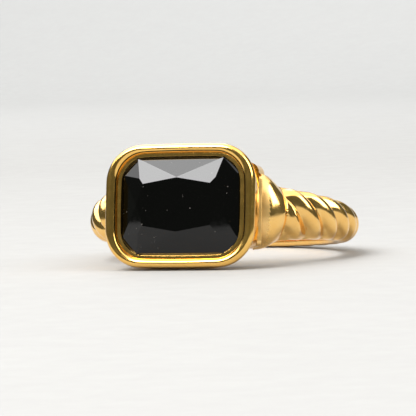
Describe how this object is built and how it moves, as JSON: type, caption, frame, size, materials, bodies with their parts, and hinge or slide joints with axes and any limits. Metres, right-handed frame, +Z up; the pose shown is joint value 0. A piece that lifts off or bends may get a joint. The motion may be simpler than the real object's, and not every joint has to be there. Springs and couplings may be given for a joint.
{
  "type": "signet ring",
  "caption": "Finger ring with a twisted rope band and a cushion-shaped bezel holding a black faceted rectangular stone, lying on its side.",
  "frame": {"origin": "on the axis of the finger bore, level with the middle of the bezel face", "axes": "+Z up from the table the ring lies on, -Y the side the stone faces, +X across the stone. The ring rests on the lower edge of its bezel and the back of its band, so the bore axis leans 9.5 degrees from +Z toward +Y and the stone looks 9.5 degrees upward."},
  "size_m": [0.0221, 0.0243, 0.0099],
  "materials": {
    "gold_polished": "polished, yellow gold colour",
    "gold_inside": "polished, lightly worn",
    "gold_rough": "as cast, fine grain",
    "black_stone": "polished facets, opaque",
    "cement": "clear over dark metal"
  },
  "bodies": {
    "root": {"twisted_band": "gold_polished", "collar_right": "gold_rough", "collar_left": "gold_rough", "head_block": "gold_inside", "bezel_cup": "gold_polished", "bezel_lip": "gold_polished", "stone_cement": "cement", "stone": "black_stone"}
  },
  "joints": []
}
